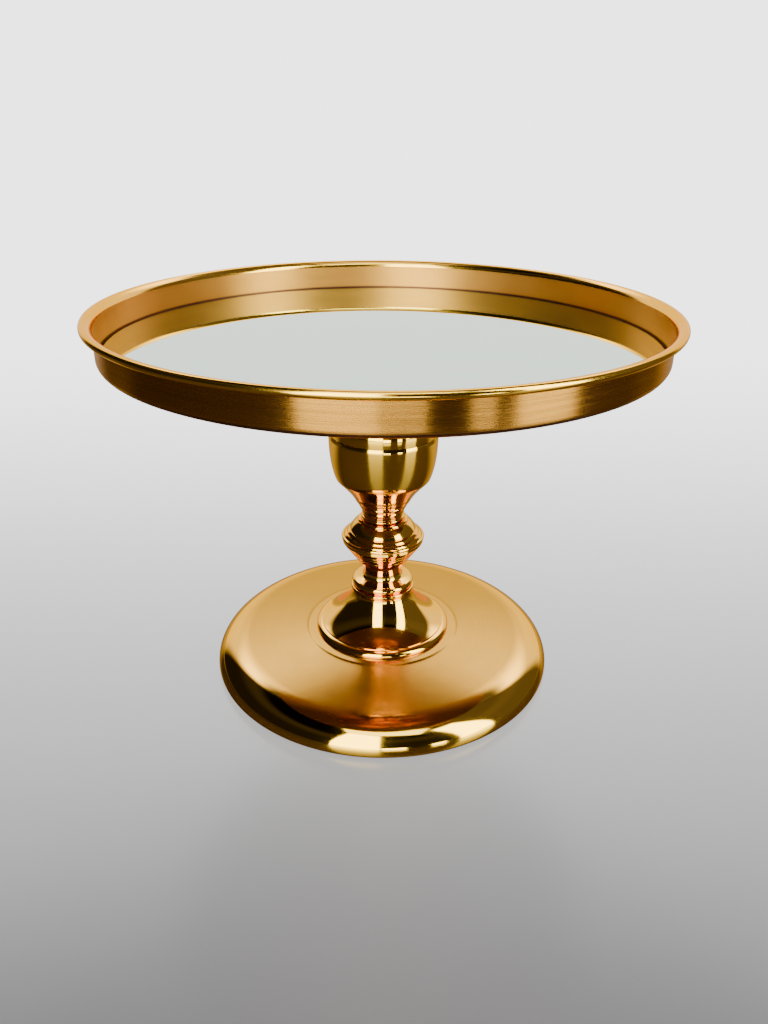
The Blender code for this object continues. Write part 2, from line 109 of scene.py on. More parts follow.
class StandTray(PropertyGroup):
    lip_radius: FloatProperty(name="Lip radius", description="Outer edge of the rolled lip",
                              default=reach("tray_pan"), unit="LENGTH")
    lip_bead: FloatProperty(name="Lip bead", description="Radius of the rolled bead",
                            default=1.8 * MM, unit="LENGTH")
    lip_flare: FloatProperty(name="Lip flare", description="Radius of the flare between wall and bead",
                             default=4.5 * MM, unit="LENGTH")
    sheet: FloatProperty(name="Sheet", description="Thickness of the tray's metal",
                         default=0.7 * MM, unit="LENGTH")
    corner: FloatProperty(name="Corner", description="Inner radius between floor and wall",
                          default=3.0 * MM, unit="LENGTH")
    glass_bevel: FloatProperty(name="Glass bevel", description="Ground edge of the mirror",
                               default=0.3 * MM, unit="LENGTH")
    glass: FloatVectorProperty(name="Mirror", description="Tint of the mirror",
                               default=(0.72, 0.90, 0.74), size=3, subtype="COLOR", min=0.0, max=1.0)


class StandStem(PropertyGroup):
    groove: FloatProperty(name="Groove", description="Depth of the fine turned lines",
                          default=0.28 * MM, unit="LENGTH")
    thread_pitch: FloatProperty(name="Thread pitch", description="Rise of the threads in one turn",
                                default=1.25 * MM, unit="LENGTH")
    thread_depth: FloatProperty(name="Thread depth", description="Depth of the threads",
                                default=0.68 * MM, unit="LENGTH")


class StandBase(PropertyGroup):
    shoulder_inset: FloatProperty(name="Shoulder inset", description="Width of the polished rim",
                                  default=21.0 * MM, unit="LENGTH")
    fall: FloatProperty(name="Fall", description="How much lower the shoulder is than the boss",
                        default=3.2 * MM, unit="LENGTH")
    widest: FloatProperty(name="Widest height", description="Height of the base's widest line",
                          default=3.2 * MM, unit="LENGTH")
    hem: FloatProperty(name="Hem", description="Radius of the rolled hem",
                       default=2.4 * MM, unit="LENGTH")
    sheet: FloatProperty(name="Sheet", description="Thickness of the base's metal",
                         default=1.0 * MM, unit="LENGTH")


class StandStage(PropertyGroup):
    floor: FloatVectorProperty(name="Floor", description="Colour of the floor, as the camera sees it",
                               default=(0.094, 0.080, 0.116), size=3, subtype="COLOR",
                               min=0.0, max=1.0)
    reflected_floor: FloatVectorProperty(name="Reflected floor",
                                         description="Colour of the floor in the metal",
                                         default=(0.05, 0.036, 0.032), size=3, subtype="COLOR",
                                         min=0.0, max=1.0)
    floor_behind: FloatProperty(name="Floor behind",
                                description="Brightness of the floor behind, in the metal",
                                default=0.65, min=0.0)
    side: FloatProperty(name="Side wall", description="Brightness of the wall on the right",
                        default=0.12, min=0.0)
    ceiling: FloatProperty(name="Ceiling", description="Brightness of the ceiling overhead",
                           default=1.4, min=0.0)
    room: FloatProperty(name="Room", description="Brightness of the dim room in front",
                        default=0.015, min=0.0)
    window: FloatProperty(name="Window", description="Brightness of the two tall windows",
                          default=11.0, min=0.0)
    backdrop: FloatProperty(name="Backdrop", description="Brightness of the white backdrop",
                            default=1.7, min=0.0)
    background: FloatProperty(name="Background", description="Brightness that the camera sees",
                              default=3.3, min=0.0)


# Outlines

def arc(center, radius, start, end, steps):
    """Points round a centre, from one angle in degrees to another; radius may be a pair."""
    across, up = radius if isinstance(radius, tuple) else (radius, radius)
    points = []
    for step in range(steps + 1):
        angle = math.radians(start + (end - start) * step / steps)
        points.append((center[0] + across * math.cos(angle), center[1] + up * math.sin(angle)))
    return points


def curve(start, end, pulls, steps):
    """A smooth run between two points; its two pulls are the ends' handles, in millimetres."""
    first, last = (Vector((*point, 0.0)) for point in (start, end))
    leave, arrive = (Vector((across * MM, up * MM, 0.0)) for across, up in pulls)
    points = interpolate_bezier(first, first + leave, last + arrive, last, steps + 1)
    return [(point.x, point.y) for point in points]


def sideways(path, distances):
    """The path moved to its right, by its own distance at each point."""
    sharpest = 0.5
    moved = []
    last = len(path) - 1
    for index, (point, distance) in enumerate(zip(path, distances)):
        before = Vector(path[max(index - 1, 0)])
        after = Vector(path[min(index + 1, last)])
        here = Vector(point)
        first = (here - before) if index > 0 else (after - here)
        second = (after - here) if index < last else first
        first.normalize()
        second.normalize()
        bisector = (first + second).normalized()
        side = Vector((bisector.y, -bisector.x))
        moved.append(tuple(here + side * (distance / max(bisector.dot(first), sharpest))))
    return moved


def sheet_outline(path, wall):
    """A closed outline: the path, and back along the wall's other side, to the path's right."""
    return path + sideways(path, [wall] * len(path))[::-1]


def rounded_disc(bore, radius, bottom, top, rounding, steps):
    """A flat disc or ring whose outer edges are rounded."""
    edge = radius - rounding
    outline = [(bore, bottom)]
    outline += arc((edge, bottom + rounding), rounding, -90.0, 0.0, steps)
    outline += arc((edge, top - rounding), rounding, 0.0, 90.0, steps)
    return outline + [(bore, top)]


def banded(path, marks, groove, crown):
    """The path as crowned bands, with a fine groove cut in to its left at each mark (0 to 1)."""
    steps = len(path) - 1
    cuts = {round(mark * steps) for mark in marks}
    ends = sorted(cuts | {0, steps})
    distances = []
    for step in range(steps + 1):
        if step in cuts:
            distances.append(-groove)
            continue
        start = max(end for end in ends if end <= step)
        stop = min((end for end in ends if end > step), default=steps)
        phase = (step - start) / max(stop - start, 1)
        distances.append(crown * math.sin(math.pi * phase) * (stop - start) / steps)
    return sideways(path, distances)


# Meshes

def finished(name, work, finishes, zone=None):
    """An object from the bmesh, smooth but for its creases; zone picks each face's finish."""
    mesh = bpy.data.meshes.new(name)
    if zone:
        for face in work.faces:
            middle = face.calc_center_median()
            face.material_index = zone(math.hypot(middle.x, middle.y), middle.z, face.normal)
    work.to_mesh(mesh)
    work.free()
    mesh.shade_smooth()
    mesh.set_sharp_from_angle(angle=CREASE)
    for finish in finishes:
        mesh.materials.append(finish)
    made = bpy.data.objects.new(name, mesh)
    bpy.context.scene.collection.objects.link(made)
    return made


def chain(work, outline):
    """New vertices along the outline, and the edges between them."""
    ring = [work.verts.new((radius, 0.0, height)) for radius, height in outline]
    return ring, [work.edges.new(pair) for pair in zip(ring[:-1], ring[1:])]


def turned(name, outline, steps, finishes, zone=None):
    """A closed body of revolution about the stand's axis."""
    points = []
    for point in outline:
        if not points or math.dist(point, points[-1]) > 2 * MERGE:
            points.append(point)
    work = bmesh.new()
    ring, edges = chain(work, points)
    if outline[0][0] > 0.0 or outline[-1][0] > 0.0:
        edges.append(work.edges.new((ring[-1], ring[0])))
    bmesh.ops.spin(work, geom=ring + edges, cent=CENTER, axis=AXIS, angle=math.tau, steps=steps,
                   use_merge=True)
    bmesh.ops.remove_doubles(work, verts=work.verts, dist=MERGE)
    bmesh.ops.recalc_face_normals(work, faces=work.faces)
    work.normal_update()
    return finished(name, work, finishes, zone)


def everything(work):
    return work.verts[:] + work.edges[:] + work.faces[:]


def threaded(name, radius, bottom, top, pitch, depth, finish):
    """A rod with a cut thread: one turn of groove, doubled up the rod, then trimmed flat at both ends."""
    flat = pitch / 8
    root = radius - depth
    start = bottom - pitch
    turns = math.ceil((top - bottom) / pitch) + 2
    work = bmesh.new()
    ring, edges = chain(work, [(root, start), (root, start + flat), (radius, start + pitch / 2),
                               (radius, start + pitch / 2 + flat), (root, start + pitch)])
    bmesh.ops.spin(work, geom=ring + edges, cent=CENTER, axis=AXIS, angle=math.tau,
                   steps=THREAD_STEPS, dvec=(0.0, 0.0, pitch / THREAD_STEPS))
    made = 1
    while made < turns:
        copied = bmesh.ops.duplicate(work, geom=everything(work))
        moved = [item for item in copied["geom"] if isinstance(item, bmesh.types.BMVert)]
        bmesh.ops.translate(work, verts=moved, vec=(0.0, 0.0, pitch * made))
        made *= 2
    bmesh.ops.remove_doubles(work, verts=work.verts, dist=MERGE)
    for height, side in ((bottom, -1.0), (top, 1.0)):
        cut = bmesh.ops.bisect_plane(work, geom=everything(work), plane_co=(0.0, 0.0, height),
                                     plane_no=(0.0, 0.0, side), clear_outer=True)
        rim = [item for item in cut["geom_cut"] if isinstance(item, bmesh.types.BMEdge)]
        bmesh.ops.triangle_fill(work, edges=rim, use_beauty=True)
    bmesh.ops.remove_doubles(work, verts=work.verts, dist=MERGE)
    bmesh.ops.recalc_face_normals(work, faces=work.faces)
    return finished(name, work, [finish])


def place(piece, body, slot, node):
    """The piece rides on its body and stands for its node of the frame; the slot is not used."""
    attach(piece, body)
    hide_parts(node)


def stem_piece(context, name, outline, node):
    """Turn a polished piece of the stem and put it in its node's place."""
    gold = polished_gold(context.scene.cake_stand_metals)
    place(turned(name, outline, STEM_STEPS, [gold]), "pedestal", "polished_gold", node)


def refinish(finish, nodes):
    """Give nodes of the frame that stay in sight a new finish."""
    for name in nodes:
        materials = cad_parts[name].data.materials
        materials.clear()
        materials.append(finish)


# Shader nodes

def surface(name, metallic, roughness, edge=WHITE):
    """A material, its nodes and its shader, with the plain values set."""
    made = bpy.data.materials.new(name)
    made.use_nodes = True
    shader = made.node_tree.nodes["Principled BSDF"]
    shader.inputs["Metallic"].default_value = metallic
    shader.inputs["Specular Tint"].default_value = (*edge, 1.0)
    shader.inputs["Roughness"].default_value = roughness
    return made, made.node_tree, shader


def feed(tree, source, socket):
    """Link the source to the socket, or set the socket if the source is a plain value."""
    if isinstance(source, bpy.types.NodeSocket):
        tree.links.new(source, socket)
    else:
        socket.default_value = source


def math_node(tree, operation, first, second):
    node = tree.nodes.new("ShaderNodeMath")
    node.operation = operation
    feed(tree, first, node.inputs[0])
    feed(tree, second, node.inputs[1])
    return node.outputs["Value"]


def product(tree, first, second):
    return math_node(tree, "MULTIPLY", first, second)


def added(tree, first, second):
    return math_node(tree, "ADD", first, second)


def vector_node(tree, operation, first, second=CENTER):
    node = tree.nodes.new("ShaderNodeVectorMath")
    node.operation = operation
    feed(tree, first, node.inputs[0])
    feed(tree, second, node.inputs[1])
    return node.outputs["Value" if operation in {"LENGTH", "DOT_PRODUCT"} else "Vector"]


def object_place(tree):
    return tree.nodes.new("ShaderNodeTexCoord").outputs["Object"]


def parts(tree, vector):
    """The vector's X, Y and Z."""
    split = tree.nodes.new("ShaderNodeSeparateXYZ")
    tree.links.new(vector, split.inputs["Vector"])
    return split.outputs["X"], split.outputs["Y"], split.outputs["Z"]


def from_axis(tree):
    """The distance from the stand's axis."""
    return vector_node(tree, "LENGTH", vector_node(tree, "MULTIPLY", object_place(tree), LEVEL))


def noise(tree, position, detail, roughness=0.5):
    node = tree.nodes.new("ShaderNodeTexNoise")
    node.inputs["Scale"].default_value = 1.0
    node.inputs["Detail"].default_value = detail
    node.inputs["Roughness"].default_value = roughness
    tree.links.new(position, node.inputs["Vector"])
    return node.outputs["Fac"]


def grain(tree, scale, detail=3.0, roughness=0.5):
    """Noise on the object's own coordinates, in cells to the metre: the same each way, or (X, Y, Z)."""
    stretch = tree.nodes.new("ShaderNodeMapping")
    stretch.inputs["Scale"].default_value = scale if isinstance(scale, tuple) else (scale,) * 3
    tree.links.new(object_place(tree), stretch.inputs["Vector"])
    return noise(tree, stretch.outputs["Vector"], detail, roughness)


def ring_grain(tree, across, around):
    """Noise drawn out round the axis, as a lathe or a wheel leaves it on a flat face."""
    x, y, _ = parts(tree, object_place(tree))
    join = tree.nodes.new("ShaderNodeCombineXYZ")
    tree.links.new(product(tree, x, around), join.inputs["X"])
    tree.links.new(product(tree, y, around), join.inputs["Y"])
    tree.links.new(product(tree, from_axis(tree), across), join.inputs["Z"])
    return noise(tree, join.outputs["Vector"], detail=2.0)


def spread(tree, source, bottom, top, start=0.3, end=0.7):
    """The source's run from start to end, eased to run from bottom to top."""
    node = tree.nodes.new("ShaderNodeMapRange")
    node.interpolation_type = "SMOOTHSTEP"
    node.inputs["From Min"].default_value = start
    node.inputs["From Max"].default_value = end
    node.inputs["To Min"].default_value = bottom
    node.inputs["To Max"].default_value = top
    tree.links.new(source, node.inputs["Value"])
    return node.outputs["Result"]


def varied(tree, source, value, least, most):
    """The value, varied by the source between two shares of itself."""
    return spread(tree, source, value * least, value * most)


def tones(tree, source, colors, start=0.3, end=0.7):
    """The source turned into the colours, evenly spread over its middle part."""
    ramp = tree.nodes.new("ShaderNodeValToRGB")
    while len(ramp.color_ramp.elements) < len(colors):
        ramp.color_ramp.elements.new(0.5)
    for index, color in enumerate(colors):
        share = index / (len(colors) - 1)
        ramp.color_ramp.elements[index].position = start + (end - start) * share
        ramp.color_ramp.elements[index].color = (*color, 1.0)
    tree.links.new(source, ramp.inputs["Fac"])
    return ramp.outputs["Color"]


def shades(color, *factors):
    return [tuple(min(channel * factor, 1.0) for channel in color) for factor in factors]


def blended(tree, kind, factor, first, second):
    """The first where the factor is 0, the second where it is 1; kind is FLOAT or RGBA."""
    node = tree.nodes.new("ShaderNodeMix")
    node.data_type = kind
    feed(tree, factor, node.inputs["Factor"])
    feed(tree, first, node.inputs["A"])
    feed(tree, second, node.inputs["B"])
    return node.outputs["Result"]


def mixed(tree, factor, first, second):
    """One shader where the factor is 0, the other where it is 1."""
    mix = tree.nodes.new("ShaderNodeMixShader")
    tree.links.new(factor, mix.inputs["Fac"])
    tree.links.new(first, mix.inputs[1])
    tree.links.new(second, mix.inputs[2])
    return mix.outputs["Shader"]


def dress(tree, shader, color, rough=None, layers=()):
    """Link the shader's colour and roughness, and lay on each layer's bumps: a source and a height."""
    tree.links.new(color, shader.inputs["Base Color"])
    if rough:
        tree.links.new(rough, shader.inputs["Roughness"])
    normal = None
    for source, height in layers:
        node = tree.nodes.new("ShaderNodeBump")
        node.inputs["Strength"].default_value = 1.0
        node.inputs["Distance"].default_value = height
        tree.links.new(source, node.inputs["Height"])
        if normal:
            tree.links.new(normal, node.inputs["Normal"])
        normal = node.outputs["Normal"]
    if normal:
        tree.links.new(normal, shader.inputs["Normal"])


def stretch_round(tree, shader, strength):
    """Draw the highlights out across the fine lines that run round the axis."""
    shader.inputs["Anisotropic"].default_value = strength
    shader.inputs["Anisotropic Rotation"].default_value = 0.25
    tangent = tree.nodes.new("ShaderNodeTangent")
    tangent.direction_type = "RADIAL"
    tangent.axis = "Z"
    tree.links.new(tangent.outputs["Tangent"], shader.inputs["Tangent"])


# Finishes

def polished_gold(metals):
    """Bright plating: soft waves of the polishing wheel, fine hairlines and faint dulled patches."""
    name = "polished_plating"
    if name in bpy.data.materials:
        return bpy.data.materials[name]
    made, tree, shader = surface(name, 1.0, metals.polished_roughness, GOLD_EDGE)
    waves = grain(tree, 170.0, detail=1.0)
    hairs = grain(tree, (60.0, 60.0, 4200.0), detail=2.0)
    patches = grain(tree, 42.0, detail=4.0)
    dress(tree, shader, tones(tree, patches, shades(metals.polished, 0.97, 1.0)),
          varied(tree, patches, metals.polished_roughness, 0.7, 1.7),
          ((waves, 0.012 * MM), (hairs, 0.0006 * MM)))
    return made


def satin_parts(tree, metals):
    """Satin plating's colour and roughness, with its very fine turned rings and its patches."""
    rings = ring_grain(tree, across=3200.0, around=24.0)
    patches = grain(tree, 30.0, detail=4.0)
    color = tones(tree, rings, shades(metals.satin, 0.48, 0.52))
    return color, varied(tree, patches, metals.satin_roughness, 0.9, 1.15), rings, patches


def satin_gold(metals):
    """Satin plating with a very fine turned grain round the axis."""
    made, tree, shader = surface("satin_plating", 1.0, metals.satin_roughness, GOLD_EDGE)
    color, rough, rings, _ = satin_parts(tree, metals)
    dress(tree, shader, color, rough, ((rings, 0.0012 * MM),))
    return made


def base_gold(metals, shoulder):
    """The base's plating: a turned satin on top that the wheel has polished away over the shoulder."""
    polish_start = shoulder - 3.0 * MM
    polish_end = shoulder + 6.0 * MM
    made, tree, shader = surface("base_plating", 1.0, metals.satin_roughness, GOLD_EDGE)
    satin, satin_rough, rings, patches = satin_parts(tree, metals)
    waves = grain(tree, 170.0, detail=1.0)
    polished = tones(tree, patches, shades(metals.polished, 0.97, 1.0))
    polished_rough = varied(tree, patches, metals.polished_roughness, 0.8, 1.5)
    outside = spread(tree, from_axis(tree), 0.0, 1.0, polish_start, polish_end)
    dress(tree, shader, blended(tree, "RGBA", outside, satin, polished),
          blended(tree, "FLOAT", outside, satin_rough, polished_rough),
          ((rings, 0.0012 * MM), (waves, 0.010 * MM)))
    return made


def brushed_gold(metals):
    """Plated sheet brushed along its length, so the lines run round the wall."""
    made, tree, shader = surface("brushed_plating", 1.0, metals.brushed_roughness, GOLD_EDGE)
    stretch_round(tree, shader, 0.98)
    lines = grain(tree, (22.0, 22.0, 2600.0))
    broad = grain(tree, (9.0, 9.0, 600.0), detail=2.0)
    dress(tree, shader, tones(tree, broad, shades(metals.brushed, 0.80, 1.0)),
          varied(tree, lines, metals.brushed_roughness, 0.85, 1.2), ((lines, 0.004 * MM),))
    return made


def inner_gold(metals, mirror_top):
    """The tray's inside: an even satin, with a painted dark shadow line where the mirror meets it."""
    # Painted shade: a dark band on the wall just above the mirror, standing in for the shadow in that crease
    painted_shadow_line = (0.13, 0.05, 0.04, 1.0)
    shadow_line_top = mirror_top + 0.2 * MM
    unshaded_bottom = mirror_top + 1.3 * MM
    made, tree, shader = surface("inner_plating", 1.0, 0.42, GOLD_EDGE)
    stretch_round(tree, shader, 0.5)
    lines = grain(tree, (26.0, 26.0, 2400.0))
    broad = grain(tree, 12.0)
    height = parts(tree, object_place(tree))[2]
    # Where the painted shadow line fades into the plating above it
    unshaded = spread(tree, height, 0.0, 1.0, shadow_line_top, unshaded_bottom)
    plating = tones(tree, broad, shades(metals.brushed, 0.78, 0.94))
    dress(tree, shader, blended(tree, "RGBA", unshaded, painted_shadow_line, plating),
          spread(tree, lines, 0.36, 0.46), ((lines, 0.002 * MM),))
    return made


def lip_gold(metals):
    """The rolled lip, rubbed brighter than the walls."""
    made, tree, shader = surface("lip_plating", 1.0, 0.14, GOLD_EDGE)
    lines = grain(tree, (30.0, 30.0, 2400.0))
    dress(tree, shader, tones(tree, lines, shades(metals.satin, 0.95, 1.0)),
          spread(tree, lines, 0.11, 0.18), ((lines, 0.0015 * MM),))
    return made


def mirror_silver(tray):
    """Silvered glass: a bright layer behind a clear face, with the faintest smears."""
    made, tree, shader = surface("mirror_silver", 1.0, 0.01)
    shader.inputs["Coat Weight"].default_value = 0.6
    shader.inputs["Coat Roughness"].default_value = 0.01
    smears = grain(tree, (18.0, 60.0, 18.0), detail=5.0)
    dress(tree, shader, tones(tree, smears, shades(tray.glass, 1.0, 0.985)),
          spread(tree, smears, 0.005, 0.035, 0.45, 0.75))
    return made


def ground_glass():
    """The mirror's ground edge."""
    made, tree, shader = surface("ground_glass", 0.0, 0.35)
    grit = grain(tree, 1800.0, detail=2.0)
    dress(tree, shader, tones(tree, grit, ((0.16, 0.26, 0.22), (0.34, 0.46, 0.40))),
          layers=((grit, 0.02 * MM),))
    return made


def mirror_backing():
    """Grey paint on the mirror's back."""
    made, tree, shader = surface("mirror_backing", 0.0, 0.55)
    mottle = grain(tree, 90.0, detail=4.0)
    dress(tree, shader, tones(tree, mottle, ((0.16, 0.17, 0.17), (0.21, 0.22, 0.22))),
          layers=((mottle, 0.03 * MM),))
    return made


def zinc_steel():
    """Zinc-plated steel, its plating slightly clouded."""
    made, tree, shader = surface("zinc_plating", 1.0, 0.34)
    clouds = grain(tree, 260.0, detail=4.0)
    rings = ring_grain(tree, across=2600.0, around=60.0)
    dress(tree, shader, tones(tree, clouds, ((0.50, 0.52, 0.54), (0.66, 0.67, 0.67))),
          spread(tree, clouds, 0.28, 0.42), ((rings, 0.004 * MM),))
    return made


def cast_iron():
    """Rough grey casting with a thin coat of black paint."""
    made, tree, shader = surface("painted_casting", 0.3, 0.65)
    pits = grain(tree, 520.0, detail=6.0, roughness=0.65)
    dress(tree, shader, tones(tree, pits, ((0.025, 0.025, 0.027), (0.075, 0.072, 0.07))),
          spread(tree, pits, 0.55, 0.8), ((pits, 0.25 * MM),))
    return made


def black_felt():
    """Pressed felt: short matted fibres."""
    made, tree, shader = surface("pressed_felt", 0.0, 0.95)
    shader.inputs["Sheen Weight"].default_value = 0.35
    shader.inputs["Sheen Roughness"].default_value = 0.6
    long_fibres = grain(tree, (2600.0, 420.0, 900.0), detail=4.0, roughness=0.7)
    cross_fibres = grain(tree, (420.0, 2600.0, 900.0), detail=4.0, roughness=0.7)
    dress(tree, shader, tones(tree, long_fibres, ((0.010, 0.010, 0.011), (0.045, 0.045, 0.048))),
          layers=((long_fibres, 0.25 * MM), (cross_fibres, 0.25 * MM)))
    return made


def black_rubber():
    """Moulded rubber with a faint bloom."""
    made, tree, shader = surface("moulded_rubber", 0.0, 0.6)
    bloom = grain(tree, 220.0, detail=4.0)
    skin = grain(tree, 1500.0)
    dress(tree, shader, tones(tree, bloom, ((0.012, 0.012, 0.012), (0.035, 0.034, 0.033))),
          spread(tree, bloom, 0.5, 0.75), ((skin, 0.02 * MM),))
    return made


def clear_film():
    """Milky adhesive film."""
    made, tree, shader = surface("milky_film", 0.0, 0.45)
    shader.inputs["Transmission Weight"].default_value = 0.35
    haze = grain(tree, 500.0)
    dress(tree, shader, tones(tree, haze, ((0.66, 0.64, 0.57), (0.78, 0.77, 0.71))),
          layers=((haze, 0.02 * MM),))
    return made


# Pieces

class CAKESTAND_OT_tray(Operator):
    """Spin the shallow tray, with its rolled lip"""
    bl_idname = "cake_stand.tray"
    bl_label = "Tray"

    def execute(self, context):
        tray = context.scene.cake_stand_tray
        metals = context.scene.cake_stand_metals
        bottom, top, _ = extent("tray_pan")
        mirror_top = extent("mirror_plate")[1]
        floor = bottom + tray.sheet
        lip_center = tray.lip_radius - tray.lip_bead
        wall = lip_center - tray.lip_flare
        wall_top = top - tray.lip_flare
        flare_start = wall_top + 0.2 * tray.lip_flare
        path = [(0.0, floor), (wall - 3 * tray.corner, floor)]
        path += arc((wall - tray.corner, floor + tray.corner), tray.corner, -90.0, 0.0, 8)
        path += arc((lip_center, wall_top), tray.lip_flare, 180.0, 90.0, 14)
        path += arc((lip_center, top - tray.lip_bead), tray.lip_bead, 80.0, -100.0, 16)
        under = sideways(path, [tray.sheet] * len(path))
        under[0] = (0.0, bottom)
        finishes = [brushed_gold(metals), lip_gold(metals), inner_gold(metals, mirror_top),
                    satin_gold(metals)]
        outer_wall, lip, inner_wall, flat = range(len(finishes))

        def zone(radius, height, normal):
            if height > flare_start:
                return lip
            if abs(normal.z) > 0.9:
                return flat
            return inner_wall if radius < wall + tray.sheet / 2 and height > floor else outer_wall

        piece = turned("spun_tray", path + under[::-1], WIDE_STEPS, finishes, zone)
        place(piece, "tray", "brushed_gold", "tray_pan")
        return {"FINISHED"}


class CAKESTAND_OT_mirror(Operator):
    """Cut the round mirror and grind its edges"""
    bl_idname = "cake_stand.mirror"
    bl_label = "Mirror"

    def execute(self, context):
        tray = context.scene.cake_stand_tray
        bottom, top, radius = extent("mirror_plate")
        bevel = tray.glass_bevel
        face = radius - bevel
        outline = [(0.0, bottom), (face, bottom), (radius, bottom + bevel), (radius, top - bevel),
                   (face, top), (0.0, top)]
        finishes = [mirror_silver(tray), ground_glass(), mirror_backing()]
        front, edge, back = range(len(finishes))

        def zone(_radius, _height, normal):
            if abs(normal.z) < 0.99:
                return edge
            return front if normal.z > 0.0 else back

        piece = turned("mirror_disc", outline, WIDE_STEPS, finishes, zone)
        place(piece, "tray", "mirror_glass", "mirror_plate")
        refinish(clear_film(), [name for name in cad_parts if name.startswith("mirror_pad")])
        return {"FINISHED"}


class CAKESTAND_OT_fixing(Operator):
    """Make the disc and stud under the tray, the rubber washer and the rod, and finish the hardware"""
    bl_idname = "cake_stand.fixing"
    bl_label = "Fixings"

    def execute(self, context):
        stem = context.scene.cake_stand_stem
        steel = zinc_steel()
        bore = reach("tray_stud") + 0.4 * MM
        for name, node, body, slot, finish, rounding in (
                ("stud_disc", "stud_plate", "tray", "zinc_steel", steel, 0.35 * MM),
                ("rubber_ring", "rubber_washer", "washer", "black_rubber", black_rubber(), 0.455 * MM)):
            bottom, top, radius = extent(node)
            outline = rounded_disc(bore, radius, bottom, top, rounding, 5)
            place(turned(name, outline, STEM_STEPS, [finish]), body, slot, node)
        for name, node, body in (("threaded_stud", "tray_stud", "tray"),
                                 ("threaded_rod", "tie_rod", "pedestal")):
            bottom, top, radius = extent(node)
            piece = threaded(name, radius, bottom, top, stem.thread_pitch, stem.thread_depth, steel)
            place(piece, body, "zinc_steel", node)
        refinish(steel, ["coupling_nut", "base_nut", "clamp_washer", "lock_washer"])
        return {"FINISHED"}


class CAKESTAND_OT_seat(Operator):
    """Turn the flared seat that carries the tray"""
    bl_idname = "cake_stand.seat"
    bl_label = "Tray seat"

    def execute(self, context):
        bottom, top, radius = extent("tray_seat")
        pocket = 8.0 * MM
        waist = 13.5 * MM
        rim = 1.2 * MM
        foot = 17.0 * MM
        outline = [(pocket, bottom)]
        outline += arc((foot - rim, bottom + rim), rim, -90.0, 75.0, 12)
        outline += curve((waist, bottom + 2 * rim), (radius - rim, top - 2 * rim),
                         ((-0.6, 6.6), (-12.8, -1.4)), 28)
        outline += arc((radius - rim, top - rim), rim, -60.0, 90.0, 12)
        outline.append((pocket, top))
        stem_piece(context, "flared_seat", outline, "tray_seat")
        return {"FINISHED"}


class CAKESTAND_OT_cup(Operator):
    """Spin the cup and the domed cover that closes it"""
    bl_idname = "cake_stand.cup"
    bl_label = "Cup"

    def execute(self, context):
        bottom, top, radius = extent("stem_cup")
        mouth = radius - 0.5 * MM
        mouth_lip = 1.5 * MM
        edge = (radius - 3.6 * MM, bottom + 11.0 * MM)
        below_edge = (edge[0] - 0.7 * MM, edge[1] - 0.8 * MM)
        foot = 17.6 * MM
        path = [(mouth, top)]
        path += curve((radius, top - mouth_lip), edge, ((0.2, -10.5), (2.2, 5.0)), 28)
        path += curve(below_edge, (foot, bottom), ((-3.3, -3.6), (1.4, 2.6)), 16)
        path.append((ROD_BORE, bottom))
        stem_piece(context, "cup_bowl", sheet_outline(path, STEM_SHEET), "stem_cup")

        bottom, top, _ = extent("cup_cover")
        crown = 17.6 * MM
        bevel = 0.4 * MM
        path = [(ROD_BORE, top), (crown, top)]
        path += curve((crown + bevel, top - bevel), (mouth, bottom + mouth_lip),
                      ((7.5, -2.4), (0.1, 7.4)), 28)
        path.append((mouth, bottom))
        stem_piece(context, "cup_dome", sheet_outline(path, STEM_SHEET), "cup_cover")
        return {"FINISHED"}


class CAKESTAND_OT_neck(Operator):
    """Turn the waisted neck under the cup"""
    bl_idname = "cake_stand.neck"
    bl_label = "Neck"

    def execute(self, context):
        stem = context.scene.cake_stand_stem
        bottom, top, radius = extent("stem_neck")
        collar = 12.8 * MM
        roll = 1.0 * MM
        waist = 11.8 * MM
        crown = 0.35 * MM
        flare = curve((waist, bottom + 2.0 * roll), (radius, top), ((0.0, 4.0), (-2.2, -4.0)), 45)
        outline = [(ROD_BORE, bottom)]
        outline += arc((collar - roll, bottom + roll), roll, -90.0, 80.0, 12)
        outline += banded(flare, (0.08, 0.31, 0.6), stem.groove, crown)
        outline.append((ROD_BORE, top))
        stem_piece(context, "neck_turning", outline, "stem_neck")
        return {"FINISHED"}


class CAKESTAND_OT_knop(Operator):
    """Turn the knop, with the fine lines on its cone and its dome"""
    bl_idname = "cake_stand.knop"
    bl_label = "Knop"

    def execute(self, context):
        stem = context.scene.cake_stand_stem
        bottom, top, radius = extent("knop")
        foot = 10.8 * MM
        neck = 13.8 * MM
        rim = 1.3 * MM
        rim_z = bottom + 22.4 * MM
        under_rim = (radius - 0.6 * MM, rim_z - 2.0 * rim)
        cone_crown = 0.3 * MM
        dome_crown = 0.8 * MM
        cone = curve((foot, bottom), under_rim, ((0.6, 4.0), (-5.0, -7.4)), 72)
        dome = curve((radius - rim, rim_z + rim), (neck, top), ((-2.3, 2.3), (1.6, -2.2)), 45)
        outline = [(ROD_BORE, bottom)]
        outline += banded(cone, (0.60, 0.77, 0.86), stem.groove, cone_crown)
        outline += arc((radius - rim, rim_z), rim, -70.0, 60.0, 14)
        outline += banded(dome, (0.20, 0.38, 0.84), stem.groove, dome_crown)
        outline.append((ROD_BORE, top))
        stem_piece(context, "knop_turning", outline, "knop")
        return {"FINISHED"}


